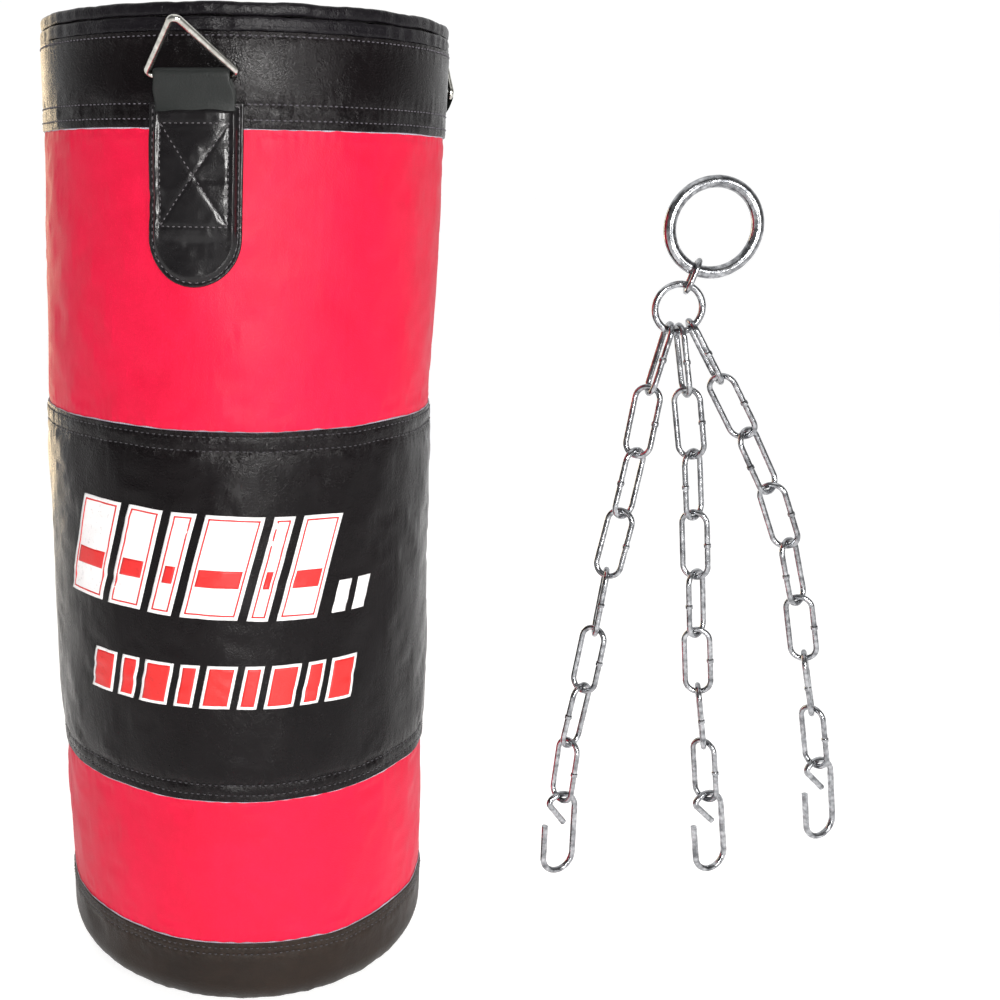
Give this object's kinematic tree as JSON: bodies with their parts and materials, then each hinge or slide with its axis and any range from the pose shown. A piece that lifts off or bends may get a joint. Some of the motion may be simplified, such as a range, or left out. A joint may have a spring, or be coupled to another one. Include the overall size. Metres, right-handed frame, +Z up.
{
  "type": "uppercut punching bag",
  "caption": "Upright cylindrical uppercut punching bag in banded leathercloth with strap tabs, triangle rings and a separate three-leg hanging chain with wire hooks.",
  "frame": {"origin": "centre of the bag's flat base, on the floor it stands on", "axes": "+Z up along the bag's axis; -Y is the front, where the tab with the leaning ring is a little left of centre; +X towards the chain set"},
  "size_m": [0.6302, 0.3471, 0.7414],
  "materials": {
    "black_vinyl": "satin",
    "red_vinyl": "satin",
    "tab_vinyl": "gloss",
    "strap_vinyl": "satin",
    "base_vinyl": "matte",
    "foam": "matte",
    "textile_fill": "matte",
    "zip_tape": "matte",
    "zip_teeth": "satin",
    "zip_metal": "satin",
    "zinc_steel": "polished"
  },
  "bodies": {
    "bag": {"base_disc": "base_vinyl", "shell_bottom_band": "black_vinyl", "shell_lower_panel": "red_vinyl", "shell_middle_band": "black_vinyl", "shell_upper_panel": "red_vinyl", "shell_top_band": "black_vinyl", "lid_skirt": "black_vinyl", "lid_welt": "black_vinyl", "lid_panel": "black_vinyl", "foam_wrap": "foam", "textile_core": "textile_fill", "base_pad": "foam", "top_pad": "foam", "zip_tape": "zip_tape", "zip_teeth": "zip_teeth", "tab_patch_front": "tab_vinyl", "strap_loop_front": "strap_vinyl", "tab_patch_right": "tab_vinyl", "strap_loop_right": "strap_vinyl", "tab_patch_rear": "tab_vinyl", "strap_loop_rear": "strap_vinyl"},
    "zip_slider": {"zip_slider": "zip_metal"},
    "zip_pull": {"zip_pull": "zip_metal"},
    "triangle_ring_front": {"triangle_ring_front": "zinc_steel"},
    "triangle_ring_right": {"triangle_ring_right": "zinc_steel"},
    "triangle_ring_rear": {"triangle_ring_rear": "zinc_steel"},
    "hanging_ring": {"hanging_ring": "zinc_steel"},
    "connector_link": {"connector_link": "zinc_steel"},
    "collector_ring": {"collector_ring": "zinc_steel"},
    "left_link_1": {"left_link_1": "zinc_steel"},
    "left_link_2": {"left_link_2": "zinc_steel"},
    "left_link_3": {"left_link_3": "zinc_steel"},
    "left_link_4": {"left_link_4": "zinc_steel"},
    "left_link_5": {"left_link_5": "zinc_steel"},
    "left_link_6": {"left_link_6": "zinc_steel"},
    "left_link_7": {"left_link_7": "zinc_steel"},
    "left_link_8": {"left_link_8": "zinc_steel"},
    "left_hook": {"left_hook": "zinc_steel"},
    "middle_link_1": {"middle_link_1": "zinc_steel"},
    "middle_link_2": {"middle_link_2": "zinc_steel"},
    "middle_link_3": {"middle_link_3": "zinc_steel"},
    "middle_link_4": {"middle_link_4": "zinc_steel"},
    "middle_link_5": {"middle_link_5": "zinc_steel"},
    "middle_link_6": {"middle_link_6": "zinc_steel"},
    "middle_link_7": {"middle_link_7": "zinc_steel"},
    "middle_link_8": {"middle_link_8": "zinc_steel"},
    "middle_hook": {"middle_hook": "zinc_steel"},
    "right_link_1": {"right_link_1": "zinc_steel"},
    "right_link_2": {"right_link_2": "zinc_steel"},
    "right_link_3": {"right_link_3": "zinc_steel"},
    "right_link_4": {"right_link_4": "zinc_steel"},
    "right_link_5": {"right_link_5": "zinc_steel"},
    "right_link_6": {"right_link_6": "zinc_steel"},
    "right_link_7": {"right_link_7": "zinc_steel"},
    "right_link_8": {"right_link_8": "zinc_steel"},
    "right_hook": {"right_hook": "zinc_steel"}
  },
  "joints": [
    {"name": "ring_fold_front", "type": "hinge", "parent": "bag", "child": "triangle_ring_front", "pos_m": [-0.03402, -0.15347, 0.689], "axis": [0.9763, -0.2164, 0], "range_deg": [-52, 80]},
    {"name": "ring_fold_right", "type": "hinge", "parent": "bag", "child": "triangle_ring_right", "pos_m": [0.14992, 0.04727, 0.689], "axis": [-0.3007, 0.9537, 0], "range_deg": [0, 135]},
    {"name": "ring_fold_rear", "type": "hinge", "parent": "bag", "child": "triangle_ring_rear", "pos_m": [-0.1159, 0.1062, 0.689], "axis": [-0.6756, -0.7373, 0], "range_deg": [0, 135]},
    {"name": "zip_run", "type": "slide", "parent": "bag", "child": "zip_slider", "axis": [-1, 0, 0], "range_m": [0, 0.214]},
    {"name": "pull_lift", "type": "hinge", "parent": "zip_slider", "child": "zip_pull", "pos_m": [0.108, 0, 0.73515], "axis": [-1, 0, 0], "range_deg": [0, 165]},
    {"name": "chain_lift", "type": "slide", "parent": "bag", "child": "hanging_ring", "axis": [0, 0, 1], "range_m": [0, 0.35]},
    {"name": "connector_swing", "type": "hinge", "parent": "hanging_ring", "child": "connector_link", "pos_m": [0.32026, -0.1, 0.56748], "axis": [-0.9438, 0, 0.3305], "range_deg": [-25, 25]},
    {"name": "collector_swing", "type": "hinge", "parent": "connector_link", "child": "collector_ring", "pos_m": [0.31474, -0.1, 0.55171], "axis": [-0.1962, -0.9781, 0.0687], "range_deg": [-5, 28]},
    {"name": "left_swing_1", "type": "hinge", "parent": "collector_ring", "child": "left_link_1", "pos_m": [0.30447, -0.1, 0.52395], "axis": [0.9336, 0, -0.3584], "range_deg": [-40, 40]},
    {"name": "left_swing_2", "type": "hinge", "parent": "left_link_1", "child": "left_link_2", "pos_m": [0.29395, -0.1, 0.47835], "axis": [0.068, 0.9976, -0.0157], "range_deg": [-12, 8]},
    {"name": "left_swing_3", "type": "hinge", "parent": "left_link_2", "child": "left_link_3", "pos_m": [0.28819, -0.1, 0.43151], "axis": [0.7821, -0.6157, -0.096], "range_deg": [-32, 32]},
    {"name": "left_swing_4", "type": "hinge", "parent": "left_link_3", "child": "left_link_4", "pos_m": [0.28105, -0.1, 0.38485], "axis": [0.8383, 0.5299, -0.1283], "range_deg": [-32, 15]},
    {"name": "left_swing_5", "type": "hinge", "parent": "left_link_4", "child": "left_link_5", "pos_m": [0.27278, -0.1, 0.33838], "axis": [0.7965, -0.5878, -0.1419], "range_deg": [-32, 32]},
    {"name": "left_swing_6", "type": "hinge", "parent": "left_link_5", "child": "left_link_6", "pos_m": [0.26743, -0.1, 0.29148], "axis": [0.2404, 0.9703, -0.0274], "range_deg": [-32, 12]},
    {"name": "left_swing_7", "type": "hinge", "parent": "left_link_6", "child": "left_link_7", "pos_m": [0.26127, -0.1, 0.24469], "axis": [-0.6887, 0.7193, 0.0907], "range_deg": [-32, 32]},
    {"name": "left_swing_8", "type": "hinge", "parent": "left_link_7", "child": "left_link_8", "pos_m": [0.25397, -0.1, 0.19806], "axis": [-0.7993, -0.5878, 0.1252], "range_deg": [-32, 32]},
    {"name": "left_hook_swing", "type": "hinge", "parent": "left_link_8", "child": "left_hook", "pos_m": [0.25068, -0.1, 0.15097], "axis": [0.5578, -0.829, -0.039], "range_deg": [-60, 60]},
    {"name": "middle_swing_1", "type": "hinge", "parent": "collector_ring", "child": "middle_link_1", "pos_m": [0.31311, -0.1, 0.52299], "axis": [-0.9898, 0, -0.1426], "range_deg": [-32, 32]},
    {"name": "middle_swing_2", "type": "hinge", "parent": "middle_link_1", "child": "middle_link_2", "pos_m": [0.32228, -0.1, 0.47709], "axis": [0.0342, 0.9994, 0.0068], "range_deg": [-6, 8]},
    {"name": "middle_swing_3", "type": "hinge", "parent": "middle_link_2", "child": "middle_link_3", "pos_m": [0.33081, -0.1, 0.43067], "axis": [0.8154, -0.5592, 0.1497], "range_deg": [-32, 32]},
    {"name": "middle_swing_4", "type": "hinge", "parent": "middle_link_3", "child": "middle_link_4", "pos_m": [0.33688, -0.1, 0.38386], "axis": [-0.8023, -0.5878, -0.1042], "range_deg": [-32, 32]},
    {"name": "middle_swing_5", "type": "hinge", "parent": "middle_link_4", "child": "middle_link_5", "pos_m": [0.34231, -0.1, 0.33697], "axis": [-0.8037, 0.5878, -0.093], "range_deg": [-32, 32]},
    {"name": "middle_swing_6", "type": "hinge", "parent": "middle_link_5", "child": "middle_link_6", "pos_m": [0.34765, -0.1, 0.29008], "axis": [-0.7829, -0.6157, -0.0892], "range_deg": [-32, 32]},
    {"name": "middle_swing_7", "type": "hinge", "parent": "middle_link_6", "child": "middle_link_7", "pos_m": [0.35341, -0.1, 0.24323], "axis": [0.9327, -0.342, 0.1145], "range_deg": [-32, 32]},
    {"name": "middle_swing_8", "type": "hinge", "parent": "middle_link_7", "child": "middle_link_8", "pos_m": [0.36185, -0.1, 0.19679], "axis": [-0.2712, -0.9613, -0.0493], "range_deg": [-22, 25]},
    {"name": "middle_hook_swing", "type": "hinge", "parent": "middle_link_8", "child": "middle_hook", "pos_m": [0.36874, -0.1, 0.1501], "axis": [0.6091, -0.788, 0.0899], "range_deg": [-60, 60]},
    {"name": "right_swing_1", "type": "hinge", "parent": "collector_ring", "child": "right_link_1", "pos_m": [0.32174, -0.1, 0.52684], "axis": [0.766, 0, 0.6428], "range_deg": [-32, 32]},
    {"name": "right_swing_2", "type": "hinge", "parent": "right_link_1", "child": "right_link_2", "pos_m": [0.34619, -0.1, 0.48694], "axis": [-0.0595, -0.9976, -0.0364], "range_deg": [-6, 35]},
    {"name": "right_swing_3", "type": "hinge", "parent": "right_link_2", "child": "right_link_3", "pos_m": [0.3705, -0.1, 0.44648], "axis": [0.6755, -0.6157, 0.4059], "range_deg": [-32, 32]},
    {"name": "right_swing_4", "type": "hinge", "parent": "right_link_3", "child": "right_link_4", "pos_m": [0.39339, -0.1, 0.4052], "axis": [-0.7417, -0.5299, -0.4111], "range_deg": [-32, 32]},
    {"name": "right_swing_5", "type": "hinge", "parent": "right_link_4", "child": "right_link_5", "pos_m": [0.41145, -0.1, 0.36159], "axis": [-0.728, 0.6157, -0.3016], "range_deg": [-32, 32]},
    {"name": "right_swing_6", "type": "hinge", "parent": "right_link_5", "child": "right_link_6", "pos_m": [0.42478, -0.1, 0.31631], "axis": [0.7761, 0.5878, 0.2284], "range_deg": [-32, 32]},
    {"name": "right_swing_7", "type": "hinge", "parent": "right_link_6", "child": "right_link_7", "pos_m": [0.43507, -0.1, 0.27025], "axis": [-0.8617, 0.4695, -0.1926], "range_deg": [-32, 32]},
    {"name": "right_swing_8", "type": "hinge", "parent": "right_link_7", "child": "right_link_8", "pos_m": [0.44641, -0.1, 0.22443], "axis": [-0.3948, -0.9135, -0.0977], "range_deg": [-32, 32]},
    {"name": "right_hook_swing", "type": "hinge", "parent": "right_link_8", "child": "right_hook", "pos_m": [0.45598, -0.1, 0.17821], "axis": [0.5476, -0.829, 0.1134], "range_deg": [-60, 60]}
  ]
}
